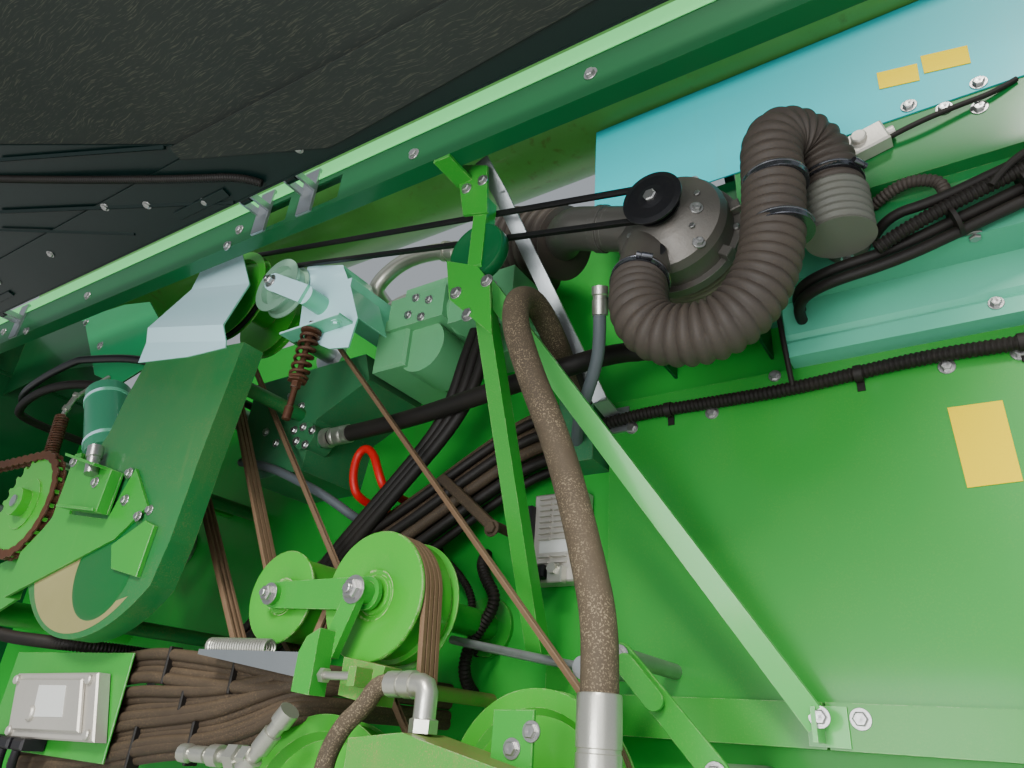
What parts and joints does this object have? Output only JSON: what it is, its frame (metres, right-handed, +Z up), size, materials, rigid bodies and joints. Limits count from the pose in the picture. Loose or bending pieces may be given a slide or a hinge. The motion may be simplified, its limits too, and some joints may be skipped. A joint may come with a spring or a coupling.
{
  "type": "combine harvester side drive bay",
  "caption": "Side drive bay of a combine harvester: belt and chain drives, blower, hoses and frame under a raised cover hinged below the unloading tube.",
  "frame": {"origin": "centre of the four frame bolts, on the back face of the rear frame that sits against the machine's body", "axes": "X along the machine towards its rear, Y into the machine, Z up"},
  "size_m": [3.0123, 1.6542, 1.988],
  "materials": {
    "green_paint": "gloss enamel, dusty",
    "dark_green_paint": "gloss enamel in shade, dusty",
    "deck_paint": "bright gloss enamel",
    "zinc": "zinc plated",
    "black_paint": "satin black",
    "belt_rubber": "dusty",
    "hose_rubber": "dusty, brown",
    "duct_rubber": "ribbed, dusty",
    "bellows_plastic": "ribbed, dusty",
    "cast_housing": "rough casting, dusty",
    "green_casting": "painted casting, worn and dusty",
    "chain_steel": "rusty",
    "lining_mat": "fibrous mat",
    "black_case": "matte, ribbed",
    "alloy_case": "sand cast"
  },
  "bodies": {
    "root": {"rear_frame": "dark_green_paint", "tube_saddles": "dark_green_paint", "inner_wall": "dark_green_paint", "end_panel": "dark_green_paint", "side_sheet": "green_paint", "sill": "green_paint", "ledge_stack": "green_paint", "deck_panel": "deck_paint", "unloading_tube": "green_paint", "cover_rail": "dark_green_paint", "hinge_brackets": "zinc", "belt_blower": "belt_rubber", "belt_long": "belt_rubber", "belt_quad": "belt_rubber", "belt_triple": "belt_rubber", "chain": "chain_steel", "shafts": "zinc", "idler_link": "green_paint", "post": "green_paint", "stay_strap": "zinc", "brace": "green_paint", "drive_guard": "green_paint", "hood": "green_paint", "box_bracket": "green_paint", "tension_arm": "green_paint", "spring_tensioner": "zinc", "gear_case": "green_casting", "pump_block": "green_casting", "blower_housing": "cast_housing", "blower_bellows": "bellows_plastic", "blower_mount": "dark_green_paint", "duct": "duct_rubber", "duct_end": "bellows_plastic", "air_intake": "bellows_plastic", "valve_block": "green_casting", "hose_main": "hose_rubber", "hose_gear": "hose_rubber", "hose_bundle": "hose_rubber", "hose_rows": "hose_rubber", "hose_clamps": "zinc", "control_unit": "alloy_case", "engine_control": "black_case", "chain_arm": "green_paint", "canister": "green_paint", "lower_casting": "green_casting", "spring_box": "zinc", "hose_fittings": "zinc"},
    "cover": {"cover_skin": "dark_green_paint", "cover_ribs": "dark_green_paint", "cover_lining": "lining_mat"},
    "drive_pulley_turning": {"drive_pulley": "green_paint"},
    "top_idler_turning": {"top_idler": "green_paint"},
    "blower_pulley_turning": {"blower_pulley": "black_paint"},
    "idler_large_turning": {"idler_large": "green_paint"},
    "idler_small_turning": {"idler_small": "green_paint"},
    "lower_pulley_turning": {"lower_pulley": "green_paint"},
    "fan_pulley_turning": {"fan_pulley": "green_paint"},
    "triple_pulley_turning": {"triple_pulley": "green_paint"},
    "sprocket_turning": {"sprocket": "green_paint"},
    "far_sprocket_turning": {"far_sprocket": "green_paint"}
  },
  "joints": [
    {"name": "cover_hinge", "type": "hinge", "parent": "root", "child": "cover", "pos_m": [-0.001, -0.6, 1.03001], "axis": [0.9997, 0, -0.025], "range_deg": [0, 105]},
    {"name": "drive_pulley_spin", "type": "hinge", "parent": "root", "child": "drive_pulley_turning", "pos_m": [-0.14, -0.384, 0.93], "axis": [0, 1, 0], "continuous": true},
    {"name": "top_idler_spin", "type": "hinge", "parent": "root", "child": "top_idler_turning", "pos_m": [0.054, -0.438, 0.89], "axis": [0, 1, 0], "continuous": true},
    {"name": "blower_pulley_spin", "type": "hinge", "parent": "root", "child": "blower_pulley_turning", "pos_m": [0.961, -0.44, 0.779], "axis": [0, 1, 0], "continuous": true},
    {"name": "idler_large_spin", "type": "hinge", "parent": "root", "child": "idler_large_turning", "pos_m": [0.473, -0.385, 0.189], "axis": [0, 1, 0], "continuous": true},
    {"name": "idler_small_spin", "type": "hinge", "parent": "root", "child": "idler_small_turning", "pos_m": [0.255, -0.385, 0.194], "axis": [0, 1, 0], "continuous": true},
    {"name": "lower_pulley_spin", "type": "hinge", "parent": "root", "child": "lower_pulley_turning", "pos_m": [0.421, -0.383, -0.163], "axis": [0, 1, 0], "continuous": true},
    {"name": "fan_pulley_spin", "type": "hinge", "parent": "root", "child": "fan_pulley_turning", "pos_m": [0.728, -0.32, -0.078], "axis": [0, 1, 0], "continuous": true},
    {"name": "triple_pulley_spin", "type": "hinge", "parent": "root", "child": "triple_pulley_turning", "pos_m": [-0.241, -0.36, 0.684], "axis": [0, 1, 0], "continuous": true},
    {"name": "sprocket_spin", "type": "hinge", "parent": "root", "child": "sprocket_turning", "pos_m": [-0.6, -0.532, 0.42], "axis": [0, 1, 0], "continuous": true},
    {"name": "far_sprocket_spin", "type": "hinge", "parent": "root", "child": "far_sprocket_turning", "pos_m": [-1.16334, -0.532, 0.49416], "axis": [0, 1, 0], "continuous": true}
  ]
}
